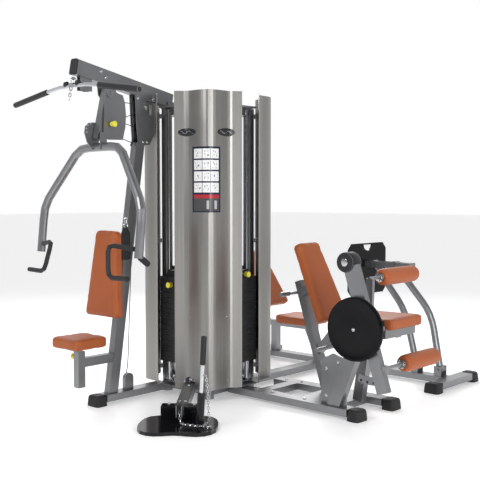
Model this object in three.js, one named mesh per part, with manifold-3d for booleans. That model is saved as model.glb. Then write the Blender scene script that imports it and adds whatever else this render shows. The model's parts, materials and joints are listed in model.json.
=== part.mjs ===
// Multi station home gym: four stations round a square weight tower.
// Millimetres, +Z up. Station A (press and lat) is towards -Y, B (low row) towards the
// +X -Y diagonal, C (leg extension) towards +X, D (leg press) beyond C towards +Y.
import * as THREE from 'three';
import { mergeVertices } from 'three/addons/utils/BufferGeometryUtils.js';
import Module from 'manifold-3d';

const wasm = await Module();
wasm.setup();

// ---- driving dimensions ----
const gap = 0.3;                  // clearance between pieces that touch
const railLow = 22;               // underside of the floor rails
const railHigh = 70;              // top of the floor rails
const railWide = 100;
const wingDistance = 360;         // tower axis to the flat wings of a shroud
const shroudHalf = 233;
const bulge = 100;
const shroudLow = 90;
const shroudHigh = 2140;
const sheet = 3;
const stackReach = 305;           // tower axis to the middle of a weight stack
const plateWide = 250;
const plateDeep = 110;
const plateThick = 36;
const platePitch = 38;
const stackLow = 250;             // underside of the lowest plate
const basePlates = 13;
const rodSpread = 85;
const rodRadius = 11;
const ringHigh = 2028;            // middle of the tower's top ring
const shelfZ = 83.9;              // middle of the shelf under a stack
const xA = -200;                  // middle plane of station A
const yC = 300;                   // middle plane of station C
const yD = 1285;                  // middle plane of station D
const padThick = 65;
const padBackY = -765;            // back of the press pad at its lower edge

// ---- finishes ----
const finish = (color, metalness, roughness) =>
  new THREE.MeshStandardMaterial({ color, metalness, roughness });
const silver = finish(0xa8aaad, 0.6, 0.4);
const steel = finish(0xb9b8b4, 1, 0.35);
const chrome = finish(0xdfe2e6, 1, 0.1);
const black = finish(0x1b1b1d, 0, 0.5);
const rubber = finish(0x26262a, 0, 0.8);
const orange = finish(0xb8622f, 0, 0.6);
const yellow = finish(0xe8e04a, 0, 0.4);

// ---- solids ----
const v = (x, y, z) => new THREE.Vector3(x, y, z);

function toSolid(geometry) {
  const plain = geometry.clone();
  plain.deleteAttribute('normal');
  plain.deleteAttribute('uv');
  const merged = mergeVertices(plain, 1e-4);
  const mesh = new wasm.Mesh({
    numProp: 3,
    vertProperties: new Float32Array(merged.attributes.position.array),
    triVerts: new Uint32Array(merged.index.array),
  });
  return new wasm.Manifold(mesh);
}

function fromSolid(solid) {
  const mesh = solid.getMesh();
  const geometry = new THREE.BufferGeometry();
  geometry.setAttribute('position', new THREE.BufferAttribute(new Float32Array(mesh.vertProperties), 3));
  geometry.setIndex(new THREE.BufferAttribute(new Uint32Array(mesh.triVerts), 1));
  geometry.computeVertexNormals();
  return geometry;
}

function join(...geometries) {
  let solid = toSolid(geometries[0]);
  for (const next of geometries.slice(1)) {
    solid = solid.add(toSolid(next));
  }
  return fromSolid(solid);
}

function cut(base, ...tools) {
  let solid = toSolid(base);
  for (const tool of tools) {
    solid = solid.subtract(toSolid(tool));
  }
  return fromSolid(solid);
}

// a box from its lowest and highest corners
function block(x0, y0, z0, x1, y1, z1) {
  const geometry = new THREE.BoxGeometry(x1 - x0, y1 - y0, z1 - z0);
  geometry.translate((x0 + x1) / 2, (y0 + y1) / 2, (z0 + z1) / 2);
  return geometry;
}

// a rectangular bar from a to b; 'side' is the direction of its first section size
function bar(a, b, across, deep, side = v(1, 0, 0)) {
  const along = b.clone().sub(a);
  const length = along.length();
  along.normalize();
  const lead = Math.abs(side.dot(along)) > 0.99 ? v(0, 1, 0) : side;
  const first = lead.clone().addScaledVector(along, -lead.dot(along)).normalize();
  const second = along.clone().cross(first);
  const geometry = new THREE.BoxGeometry(across, deep, length);
  const turn = new THREE.Matrix4().makeBasis(first, second, along);
  geometry.applyMatrix4(turn);
  const middle = a.clone().add(b).multiplyScalar(0.5);
  geometry.translate(middle.x, middle.y, middle.z);
  return geometry;
}

// a round bar from a to b
function rod(a, b, radius, sides = 16, endRadius = radius) {
  const along = b.clone().sub(a);
  const geometry = new THREE.CylinderGeometry(endRadius, radius, along.length(), sides);
  const turn = new THREE.Quaternion().setFromUnitVectors(v(0, 1, 0), along.clone().normalize());
  geometry.applyQuaternion(turn);
  const middle = a.clone().add(b).multiplyScalar(0.5);
  geometry.translate(middle.x, middle.y, middle.z);
  return geometry;
}

// a round tube bent through the points, with corners of the given radius
function pipe(points, radius, bend, steps = 4, sides = 12) {
  const path = new THREE.CurvePath();
  let last = points[0];
  for (let i = 1; i < points.length - 1; i += 1) {
    const corner = points[i];
    const start = corner.clone().add(last.clone().sub(corner).setLength(bend));
    const end = corner.clone().add(points[i + 1].clone().sub(corner).setLength(bend));
    path.add(new THREE.LineCurve3(last, start));
    path.add(new THREE.QuadraticBezierCurve3(start, corner, end));
    last = end;
  }
  path.add(new THREE.LineCurve3(last, points[points.length - 1]));
  const corners = [];
  for (let i = 0; i < sides; i += 1) {
    const angle = 2 * Math.PI * i / sides;
    corners.push(new THREE.Vector2(radius * Math.cos(angle), radius * Math.sin(angle)));
  }
  return new THREE.ExtrudeGeometry(new THREE.Shape(corners), {
    extrudePath: path, steps: steps * (points.length * 2 - 3), bevelEnabled: false,
  });
}

// an outline with optional holes, thick in the direction 'out', drawn on axes right and up
function sheetPlate(outline, thick, origin, right, up, holes = []) {
  const shape = new THREE.Shape(outline.map(([x, y]) => new THREE.Vector2(x, y)));
  const geometry = new THREE.ExtrudeGeometry(shape, { depth: thick, bevelEnabled: false });
  geometry.translate(0, 0, -thick / 2);
  const out = right.clone().cross(up);
  geometry.applyMatrix4(new THREE.Matrix4().makeBasis(right, up, out));
  geometry.translate(origin.x, origin.y, origin.z);
  const drills = holes.map(([x, y, r]) => {
    const middle = origin.clone().addScaledVector(right, x).addScaledVector(up, y);
    return rod(middle.clone().addScaledVector(out, -thick), middle.addScaledVector(out, thick), r, 14);
  });
  return drills.length ? cut(geometry, ...drills) : geometry;
}

// a pad: a trapezoid with round corners, its back at the origin and its face towards 'out'
function pad(lowWide, highWide, tall, thick, origin, right, up, round = 35) {
  const a = lowWide / 2;
  const b = highWide / 2;
  const corners = [[-a, 0], [a, 0], [b, tall], [-b, tall]].map(([x, y]) => new THREE.Vector2(x, y));
  const shape = new THREE.Shape();
  corners.forEach((corner, i) => {
    const before = corners[(i + 3) % 4].clone().sub(corner).setLength(round).add(corner);
    const after = corners[(i + 1) % 4].clone().sub(corner).setLength(round).add(corner);
    if (i === 0) {
      shape.moveTo(before.x, before.y);
    } else {
      shape.lineTo(before.x, before.y);
    }
    shape.quadraticCurveTo(corner.x, corner.y, after.x, after.y);
  });
  shape.closePath();
  const geometry = new THREE.ExtrudeGeometry(shape, {
    depth: thick - 20, bevelThickness: 10, bevelSize: 10, bevelOffset: -10, bevelSegments: 2, curveSegments: 4,
  });
  geometry.translate(0, 0, 10);
  const out = right.clone().cross(up);
  geometry.applyMatrix4(new THREE.Matrix4().makeBasis(right, up, out));
  geometry.translate(origin.x, origin.y, origin.z);
  return geometry;
}

const gym = new THREE.Group();

function add(name, geometry, material, parent = gym) {
  const mesh = new THREE.Mesh(geometry, material);
  mesh.name = name;
  parent.add(mesh);
  return mesh;
}

// ---- tower ----
// one quarter turn of a point about the tower axis
const quarter = (x, y, z, turns) => {
  const angle = turns * Math.PI / 2;
  return v(x * Math.cos(angle) - y * Math.sin(angle), x * Math.sin(angle) + y * Math.cos(angle), z);
};

// the wave of a shroud: flat wings, concave flares and a round middle
function waveDepth(s) {
  const reach = Math.min(Math.abs(s) / 165, 1);
  return bulge * Math.pow(0.5 + 0.5 * Math.cos(Math.PI * reach), 0.85);
}

function shroud(angle, openings) {
  const steps = 28;
  const outer = [];
  const inner = [];
  for (let i = 0; i <= steps; i += 1) {
    const s = shroudHalf * (2 * i / steps - 1);
    outer.push(new THREE.Vector2(s, wingDistance + waveDepth(s)));
    inner.push(new THREE.Vector2(s, wingDistance + waveDepth(s) - sheet));
  }
  const shape = new THREE.Shape([...outer, ...inner.reverse()]);
  const geometry = new THREE.ExtrudeGeometry(shape, { depth: shroudHigh - shroudLow, bevelEnabled: false });
  geometry.translate(0, 0, shroudLow);
  geometry.rotateZ(angle);
  return openings.length ? cut(geometry, ...openings) : geometry;
}

const rowSide = THREE.MathUtils.degToRad(-50);        // direction of station B in plan
const rowAlong = v(Math.cos(rowSide), Math.sin(rowSide), 0);
const rowAcross = v(-rowAlong.y, rowAlong.x, 0);
const rowStart = v(175, -362, 0);
const footPlateThick = 22;        // the row station's foot plate
const rowBarSide = 135;           // where the straight bar stands, right of the middle
const rowPoint = (along, across, z) =>
  rowStart.clone().addScaledVector(rowAlong, along).addScaledVector(rowAcross, across).setZ(z);

function tower() {
  const upright = 300 * Math.SQRT1_2;
  const base = [];
  for (let k = 0; k < 4; k += 1) {
    const foot = quarter(upright, upright, railLow, k);
    const next = quarter(upright, upright, 0, k + 1);
    const out = foot.clone().setZ(0).normalize();
    base.push(rod(foot, foot.clone().setZ(ringHigh + 25), 36, 20));
    base.push(rod(foot.clone().setZ(0), foot.clone().setZ(railLow + 5), 38));
    base.push(bar(foot.clone().setZ(53), next.clone().setZ(53), 60, 50));
    base.push(bar(foot.clone().setZ(ringHigh), next.clone().setZ(ringHigh), 60, 50));
    // lugs that carry the shroud at the foot of its round middle
    for (const z of [180, 1100, 2000]) {
      const tip = foot.clone().addScaledVector(out, wingDistance + bulge - sheet - 306);
      base.push(bar(foot.clone().setZ(z), tip.setZ(z), 40, 30));
    }
    // shelf under each stack and hanger above it
    for (const z of [shelfZ, ringHigh + 19]) {
      base.push(bar(quarter(180, 0, z, k), quarter(375, 0, z, k), 220, 12, quarter(0, 1, 0, k)));
    }
  }
  add('tower_frame', join(...base), silver);
  const names = ['right_shroud', 'rear_shroud', 'left_shroud', 'front_shroud'];
  const openings = [[], [], [boomNotch()], [rowArch()]];
  names.forEach((name, k) => {
    add(name, shroud(Math.PI / 4 - Math.PI / 2 + k * Math.PI / 2, openings[k]), steel);
  });
}

// the arch in the front shroud that the row tube comes out of
function rowArch() {
  const side = bar(rowPoint(-60, 0, 85), rowPoint(130, 0, 85), 84, 90, rowAcross);
  const top = rod(rowPoint(-60, 0, 128), rowPoint(130, 0, 128), 42);
  return join(side, top);
}

function stack(name, k, pinPlate, ownPin) {
  const at = (x, y, z) => quarter(stackReach + x, y, z, k);
  const plate = (z, thick, w = plateWide, d = plateDeep) =>
    bar(at(0, 0, z), at(0, 0, z + thick), d, w, quarter(1, 0, 0, k));
  const rodHole = (side) => rod(at(0, side * rodSpread, 0), at(0, side * rodSpread, 2200), rodRadius + 3, 12);
  const rods = [];
  for (const side of [-1, 1]) {
    rods.push(rod(at(0, side * rodSpread, 108), at(0, side * rodSpread, ringHigh + 5), rodRadius, 12));
    rods.push(rod(at(0, side * rodSpread, 108), at(0, side * rodSpread, 249), 24, 14));
  }
  rods.push(plate(shelfZ + 6 + gap, 20, 215, 60));
  rods.push(plate(ringHigh, 13 - gap, 215, 60));
  add(`${name}_guide_rods`, join(...rods), chrome);

  const top = stackLow + basePlates * platePitch;
  const layers = [plate(stackLow, basePlates * platePitch - 2, plateWide - 8, plateDeep - 8)];
  for (let i = 0; i < basePlates; i += 1) {
    layers.push(plate(stackLow + i * platePitch, plateThick));
  }
  const stem = rod(at(0, 0, stackLow - 10), at(0, 0, top + 10), 17, 12);
  add(`${name}_weights`, cut(join(...layers), rodHole(-1), rodHole(1), stem), black);

  const lifted = [plate(top + gap, plateThick), plate(top + 37, plateThick), plate(top + 74, plateThick)];
  lifted.push(plate(top + 2, 106, plateWide - 8, plateDeep - 8));
  lifted.push(plate(top + 109, 46, 120, 70));
  lifted.push(rod(at(0, 0, stackLow), at(0, 0, top + 250), 13, 12));
  const pinZ = top + 37 * pinPlate + 18;
  if (!ownPin) {
    lifted.push(rod(at(20, 0, pinZ), at(92, 0, pinZ), 15, 12));
  }
  const bore = rod(at(14, 0, pinZ), at(150, 0, pinZ), 6, 10);
  const bores = ownPin ? [rodHole(-1), rodHole(1), bore] : [rodHole(-1), rodHole(1)];
  add(`${name}_lift_weights`, cut(join(...lifted), ...bores), black);

  const pin = join(
    rod(at(16, 0, pinZ), at(70, 0, pinZ), 5, 10),
    rod(at(62, 0, pinZ), at(96, 0, pinZ), 17, 14, 20),
  );
  if (ownPin) {
    add(`${name}_selector_pin`, pin, yellow);
  }
}

// ---- shared small pieces ----
// a rubber foot that closes a rail's end: a block whose lower half flares out
function foot(name, x, y, alongX, alongY) {
  const half = 44;
  const tall = railHigh + 6;
  const geometry = new THREE.BoxGeometry(2 * half, 108, tall, 1, 1, 2);
  const place = geometry.attributes.position;
  for (let i = 0; i < place.count; i += 1) {
    const flare = place.getZ(i) < -1 ? 1.16 : 1;
    const rail = place.getX(i) < 0 ? 1 : flare;
    place.setXYZ(i, place.getX(i) * rail, place.getY(i) * flare, place.getZ(i) + tall / 2);
  }
  geometry.translate(half, 0, 0);
  geometry.rotateZ(Math.atan2(alongY, alongX));
  geometry.translate(x + gap * alongX, y + gap * alongY, 0);
  add(name, geometry, rubber);
}

// a cable pulley with a round groove, its axle along X
function pulley(name, x, y, z, radius, turn = 0, parent = gym) {
  const profile = [[7, -9], [radius, -9], [radius - 7, -3], [radius - 7, 3], [radius, 9], [7, 9], [7, -9]];
  const geometry = new THREE.LatheGeometry(profile.map(([r, h]) => new THREE.Vector2(r, h)), 20);
  geometry.rotateZ(Math.PI / 2);
  geometry.rotateZ(turn);
  geometry.translate(x, y, z);
  return add(name, geometry, black, parent);
}

// a pull knob: its shank enters the tube that it locks
function knob(name, x, y, z, toX, toY) {
  const at = (d) => v(x + toX * d, y + toY * d, z);
  add(name, join(rod(at(gap), at(18), 9, 12), rod(at(12), at(44), 17, 14, 20)), yellow);
}

// ---- station A: press arm, lat bar, seat ----
const boomTop = (y) => 2158 - (y + 187) * 0.183;
const mastY = (z) => -752 + (z - 59) * 0.1486;
const hangPivot = v(xA, -768, 2112);
const pulleyY = (i) => -490 - i * (i - 1) * 7;
const pulleyZ = (i) => 1850 + i * 104;
const yokePivot = v(xA, -838, 1822);

function boomNotch() {
  return join(block(xA - 34, -420, 2040, xA + 34, 0, 2200), block(xA - 8, -420, 1885, xA + 8, 0, 2050));
}

function pressFrame() {
  const boomMiddle = (y) => v(xA, y, boomTop(y) - 50.5);
  const lug = (side) => sheetPlate(
    [[-45, 60], [-36, -10], [-18, -30], [18, -30], [36, -10], [45, 60]], 8,
    v(xA + side * 46.5, hangPivot.y, hangPivot.z), v(0, 1, 0), v(0, 0, 1), [[0, 0, 10.5]],
  );
  const cheek = (side) => cut(
    sheetPlate([[-520, 1769], [-415, 1783], [-364, 1876], [-364, 2116], [-544, 2126], [-534, 1933]], 8,
      v(xA + side * 30, 0, 0), v(0, 1, 0), v(0, 0, 1)),
    sheetPlate([[-475, 2070], [-382, 2060], [-402, 1986], [-446, 2018]], 30,
      v(xA + side * 30, 0, 0), v(0, 1, 0), v(0, 0, 1)),
    sheetPlate([[-449, 2082], [-359, 2076], [-359, 2084], [-449, 2090]], 30,
      v(xA + side * 30, 0, 0), v(0, 1, 0), v(0, 0, 1)),
  );
  const guard = join(block(xA - 15, -636, 60, xA + 15, -562, 148),
    rod(v(xA - 15, -599, 148), v(xA + 15, -599, 148), 37, 18));
  const arms = [];
  for (const z of [700, 1060]) {
    arms.push(block(xA - 25, padBackY + (z - 573) * 0.0803, z - 20, xA + 25, mastY(z) - 20, z + 20));
  }
  const frame = join(
    block(xA - 50, -822, railLow, xA + 50, -258, railHigh - gap),
    bar(v(xA, mastY(60), 60), v(xA, mastY(1790), 1790), 55, 76),
    bar(boomMiddle(-1035), boomMiddle(-190), 60, 99, v(1, 0, 0)),
    block(xA - 40, -245, ringHigh + 25 + gap, xA + 40, -185, 2100),
    lug(-1), lug(1), block(xA - 50, -810, 2158, xA + 50, -726, 2174), cheek(-1), cheek(1), guard, ...arms,
    block(xA - 25, -1015, 285, xA + 25, -700, 345),
    block(xA - 27, -1042, 150, xA + 27, -988, 392),
    ...[-1, 1].map((side) => block(xA + side * 16 - 3, -1000, 2112, xA + side * 16 + 3, -905, 2235)),
    rod(v(xA - 16, -950, 2150), v(xA + 16, -950, 2150), 6.4, 12),
    ...[0, 1, 2].map((i) => rod(v(xA - 29, pulleyY(i), pulleyZ(i)), v(xA + 29, pulleyY(i), pulleyZ(i)), 6.4, 12)),
  );
  const bores = [
    rod(v(xA, -1015, 140), v(xA, -1015, 400), 18.5, 16),
  ];
  add('press_frame', cut(frame, ...bores), silver);
  foot('press_foot', xA, -822, 0, -1);
  for (let i = 0; i < 3; i += 1) {
    pulley(`press_pulley_${i + 1}`, xA, pulleyY(i), pulleyZ(i), 47);
  }
  pulley('lat_pulley', xA, -950, 2150, 42);
}

function pressArm() {
  const down = v(0, -0.2316, -0.9728);
  const top = hangPivot.clone().addScaledVector(down, -28);
  const low = hangPivot.clone().addScaledVector(down, 320);
  const cheek = sheetPlate(
    [[-38, 10], [-28, 28], [28, 28], [60, 6], [107, -5], [126, -59], [133, -143], [127, -220], [104, -307],
      [-20, -312], [-62, -300], [-50, -60]], 8,
    v(xA + 36.5, hangPivot.y, hangPivot.z), v(0, 1, 0), v(0, 0, 1),
  );
  const spacer = bar(hangPivot.clone().addScaledVector(down, -24).setX(xA + 29),
    hangPivot.clone().addScaledVector(down, 60).setX(xA + 29), 9, 46);
  const column = join(bar(top, low, 55, 60), spacer, cheek);
  const pinBore = rod(hangPivot.clone().setX(xA - 60), hangPivot.clone().setX(xA + 60), 10.5, 16);
  const yokeBore = rod(yokePivot.clone().setX(xA - 60), yokePivot.clone().setX(xA + 60), 10.5, 16);
  add('press_column', cut(column, pinBore, yokeBore), silver);
  add('press_pivot_pin', rod(hangPivot.clone().setX(xA - 56), hangPivot.clone().setX(xA + 56), 9.5), chrome);

  const end = (side) => v(xA + side * 525, -946, 1030);
  const elbow = (side) => v(xA + side * 523, -913, 1360);
  const shoulder = (side) => v(xA + side * 215, -833, 1750);
  const tube = pipe([end(-1), elbow(-1), shoulder(-1), shoulder(1), elbow(1), end(1)], 29, 75, 3, 14);
  const fan = sheetPlate(
    [[26, 26], [26, -90], [-30, -90], [-72, -40], [-92, 20], [-86, 62], [-58, 88], [-20, 94], [26, 88]], 8,
    v(xA - 36, yokePivot.y, yokePivot.z), v(0, 1, 0), v(0, 0, 1),
    [[-77, 50, 5], [-62, 72, 5], [-40, 82, 5], [-72, 26, 5]],
  );
  const ear = sheetPlate([[26, 26], [26, -90], [-30, -90], [-26, 26]], 8,
    v(xA + 49, yokePivot.y, yokePivot.z), v(0, 1, 0), v(0, 0, 1));
  const shaft = rod(yokePivot.clone().setX(xA - 38), yokePivot.clone().setX(xA + 51), 9.5);
  add('press_yoke', join(tube, fan, ear, shaft), silver);

  for (const side of [-1, 1]) {
    const e = end(side);
    const handle = pipe([
      v(e.x - side * 35, e.y - 4, 1088), v(e.x - side * 220, e.y - 66, 1112),
      v(e.x - side * 176, e.y - 100, 906), v(e.x + side * 8, e.y - 96, 910),
    ], 16, 45, 3, 10);
    add(side < 0 ? 'press_handle_left' : 'press_handle_right', handle, black);
  }
  knob('press_start_knob', xA + 40.5 + gap, -768, 1905, 1, 0);
}

function latBar() {
  const y = -1052;
  const bend = (side) => v(xA + side * 150, y, 2138);
  const tip = (side) => v(xA + side * 660, y, 2060);
  const grip = (side) => {
    const way = tip(side).sub(bend(side)).normalize();
    return rod(tip(side).addScaledVector(way, -385), tip(side).addScaledVector(way, 6), 18, 14);
  };
  const hook = pipe([v(xA, y, 2148), v(xA, y, 2176), v(xA, -1030, 2186)], 6, 10, 2, 8);
  const bracket = block(xA - 22, y - 13, 2128, xA + 22, y + 13, 2156);
  add('lat_bar', join(pipe([tip(-1), bend(-1), bend(1), tip(1)], 13, 60, 3, 12), grip(-1), grip(1),
    hook, bracket), chrome);
}

function pressSeat() {
  add('press_seat_post', rod(v(xA, -1015, 165), v(xA, -1015, 421.7), 17, 16), chrome);
  add('press_seat_pad', pad(300, 280, 300, padThick, v(xA, -1160, 422), v(1, 0, 0), v(0, 1, 0), 60), orange);
  knob('press_seat_knob', xA - 27, -1015, 350, -1, 0);
  const lean = v(0, 0.08, 0.9968);
  add('press_back_pad', pad(365, 225, 605, padThick, v(xA - 13, padBackY - gap, 590), v(1, 0, 0), lean, 45), orange);
  add('ab_strap', block(xA + 40, -692, 985, xA + 62, -614, 1290), black);
}

// ---- station B: low row ----
function lowRow() {
  const right = rowAcross.clone().negate();
  const flat = (along, across, z) => rowPoint(along, across, z);
  const low = flat(690, rowBarSide, 34);
  const high = flat(684, rowBarSide + 26, 580);
  const rightEdge = [[150, 470], [196, 492], [228, 545], [243, 620], [247, 700], [239, 770], [215, 826], [176, 861],
    [128, 874], [80, 870], [38, 858], [0, 853]];
  const leftEdge = rightEdge.slice(0, -1).reverse().map(([x, y]) => [-x, y]);
  const footPlate = sheetPlate([...rightEdge, ...leftEdge], footPlateThick,
    rowPoint(0, 0, footPlateThick / 2).setX(rowStart.x).setY(rowStart.y), right, rowAlong.clone());
  const tube = bar(flat(-30, 0, 98), flat(540, 0, 68), 76, 60, rowAcross);
  const heel = bar(flat(470, 0, 60), flat(560, 0, 60), 250, 84, rowAcross);
  const holder = rod(low.clone().lerp(high, -0.04), low.clone().lerp(high, 0.34), 24, 14);
  const brackets = [-1, 1].map((s) => bar(flat(545, s * 17, 88), flat(640, s * 17, 88), 7, 70, rowAcross));
  const socket = rod(low, high, 17.5, 14);
  const axle = rod(flat(606, -60, 92), flat(606, 60, 92), 6, 10);
  const frame = join(footPlate, tube, heel, holder, ...brackets);
  add('row_frame', cut(frame, socket, axle), black);
  const wheel = pulley('row_pulley', 0, 0, 0, 36, rowSide + Math.PI / 2);
  wheel.position.copy(flat(606, 0, 92));
  const way = high.clone().sub(low).normalize();
  const at = (d) => low.clone().addScaledVector(way, d);
  add('row_bar', join(rod(at(0), at(530), 12, 14), rod(at(2), at(170), 16.5, 14), rod(at(362), at(530), 16.5, 14)),
    chrome);
}

// ---- station C: leg extension and curl ----
const legPivot = v(1446, 0, 602);
const coverY = -116;              // middle of the round cover outside the lever
const hipPostTop = v(625, yC, 822);
const padFoot = v(885, yC, 548);
const padLean = 25;
const hipPostLow = v(868, yC, 75);
const hipPivot = v(650, yC, 745);

function legFrame() {
  const y2 = 400;
  const half = railWide / 2;
  const seatZ = 578 - gap;
  const front = 1275;
  const gusset = sheetPlate([[1044, 60], [1044, 358], [1134, 406], [1307, 357], [1244, 277], [1240, 60]], 10,
    v(0, 0, 0), v(1, 0, 0), v(0, 0, 1));
  const parts = [
    block(242.5, -half, railLow, front, half, railHigh - gap),
    block(335, y2 - half, railLow, front, y2 + half, railHigh - gap),
    block(470, 40, railLow, 560, y2 - 40, railHigh - gap),
    block(825, 40, railLow, 1160, y2 - 40, railHigh - gap),
    bar(hipPostLow, hipPostTop, 70, 50, v(0, 1, 0)),
    gusset,
    bar(v(1150, 0, 60), v(1315, 0, 470), 60, 90, v(0, 1, 0)),
    bar(v(1160, yC - 40, 60), v(1235, yC - 40, 560), 55, 70, v(0, 1, 0)),
    block(960, yC - 25, 508, 1440, yC + 25, seatZ),
    bar(v(790, yC, 330), v(975, yC, 555), 50, 50, v(0, 1, 0)),
    block(1395, 130, 516, 1445, 490, seatZ),
    block(1190, -20, 515, 1260, yC, 575),
    bar(v(1225, 0, 420), v(1225, 0, 570), 40, 50),
    bar(v(1295, 0, 430), v(1446, 0, 600), 76, 90, v(0, 1, 0)),
    rod(legPivot.clone().setY(-38), legPivot.clone().setY(38), 52, 20),
    bar(v(1312, -20, 482), v(1312, coverY + 4 + gap, 482), 36, 36),
    bar(v(1430, 16.7, 615), v(1385, 16.7, 690), 12, 50, v(0, 1, 0)),
  ];
  const handle = join(rod(v(955, 60, 396), v(955, yC, 402), 16, 12), block(835, yC - 22, 384, 972, yC + 22, 420));
  const bore = rod(legPivot.clone().setY(-200), legPivot.clone().setY(200), 15.5, 16);
  const tiltBore = rod(hipPivot.clone().setY(-200), hipPivot.clone().setY(600), 10.5, 14);
  add('leg_frame', cut(join(...parts, handle), bore, tiltBore), silver);
  foot('leg_foot_near', front, 0, 1, 0);
  foot('leg_foot_far', front, y2, 1, 0);
}

// the back pad tilts about the head of its post, held by the side lever
function legBack() {
  add('leg_seat_pad', pad(300, 410, 415, padThick, v(1100, yC, 578), v(0, -1, 0), v(1, 0, 0), 50), orange);
  const tilt = THREE.MathUtils.degToRad(padLean);
  const up = v(-Math.sin(tilt), 0, Math.cos(tilt));
  const right = v(0, 1, 0);
  const out = right.clone().cross(up);
  const place = (a, b) => padFoot.clone().addScaledVector(up, a).addScaledVector(out, b);
  add('leg_back_pad', pad(320, 245, 590, padThick, padFoot, right, up, 45), orange);
  const ears = [-1, 1].map((side) => bar(
    place(265, -10).setY(yC + side * 44), hipPivot.clone().setY(yC + side * 44), 8, 60, v(0, 1, 0)));
  const carrier = join(
    bar(place(90, -12 - gap), place(480, -12 - gap), 110, 24, v(0, 1, 0)),
    rod(hipPivot.clone().setY(yC - 250), hipPivot.clone().setY(yC + 52), 10, 12),
    rod(hipPivot.clone().setY(yC - 250), hipPivot.clone().setY(yC - 160), 17, 14),
    ...ears,
  );
  add('leg_back_carrier', carrier, silver);
}

// lever with its counterweight above, the shin arm below and the two rollers
function legLever() {
  const p = legPivot;
  const disc = new THREE.LatheGeometry(
    [[0, -14], [188, -14], [200, -4], [200, 10], [190, 14], [176, 4], [0, 4]]
      .map(([r, h]) => new THREE.Vector2(r, h)), 36);
  disc.translate(p.x - 62, coverY, p.z);
  const tab = block(p.x + 90, coverY - 8, p.z + 40, p.x + 148, coverY + 2, p.z + 72);
  add('leg_cam_cover', join(disc, tab), black);
  const armY = -67;
  const at = (x, z) => v(x, armY, z);
  const lever = [
    rod(v(p.x, -90, p.z), v(p.x, 55, p.z), 14.5, 16),
    bar(at(p.x, p.z), at(1322, 985), 46, 100, v(0, 1, 0)),
    rod(v(p.x, -90, p.z), v(p.x, -44, p.z), 60, 20),
    rod(v(1290, -98, 1008), v(1290, -8, 1008), 62, 24),
    bar(at(p.x, p.z), at(1566, 222), 46, 78, v(0, 1, 0)),
    rod(v(1560, -60, 372), v(1560, 560, 372), 11, 14),
    bar(at(1505, 368), at(1590, 372), 40, 44, v(0, 1, 0)),
  ];
  add('leg_lever', join(...lever), silver);
  rollerPad('leg_shin_roller', 1560, 372, 150, 550, 12);
}

// a foam roller on an axle that runs along Y
function rollerPad(name, x, z, y0, y1, bore) {
  const r = 55;
  const profile = [[bore, y0], [r - 14, y0], [r - 4, y0 + 4], [r, y0 + 14],
    [r, y1 - 14], [r - 4, y1 - 4], [r - 14, y1], [bore, y1], [bore, y0]];
  const geometry = new THREE.LatheGeometry(profile.map(([a, h]) => new THREE.Vector2(a, h)), 24);
  geometry.translate(x, 0, z);
  add(name, geometry, orange);
}

// the thigh roller on its swinging holder
function thighRoller() {
  const x = 1392;
  const z = 905;
  const holder = join(
    rod(v(x, 20, z), v(x, 560, z), 11, 14),
    bar(v(x, 35, z), v(1385, 35, 690), 50, 24, v(1, 0, 0)),
    rod(v(1385, 24, 690), v(1385, 46, 690), 34, 18),
  );
  add('thigh_holder', holder, silver);
  rollerPad('thigh_roller', x, z, 150, 552, 12);
}

// ---- station D: leg press ----
const pressLow = [v(990, yD, 118), v(1190, yD, 118)];
const pressHigh = [v(592, yD, 884), v(792, yD, 884)];

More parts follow.
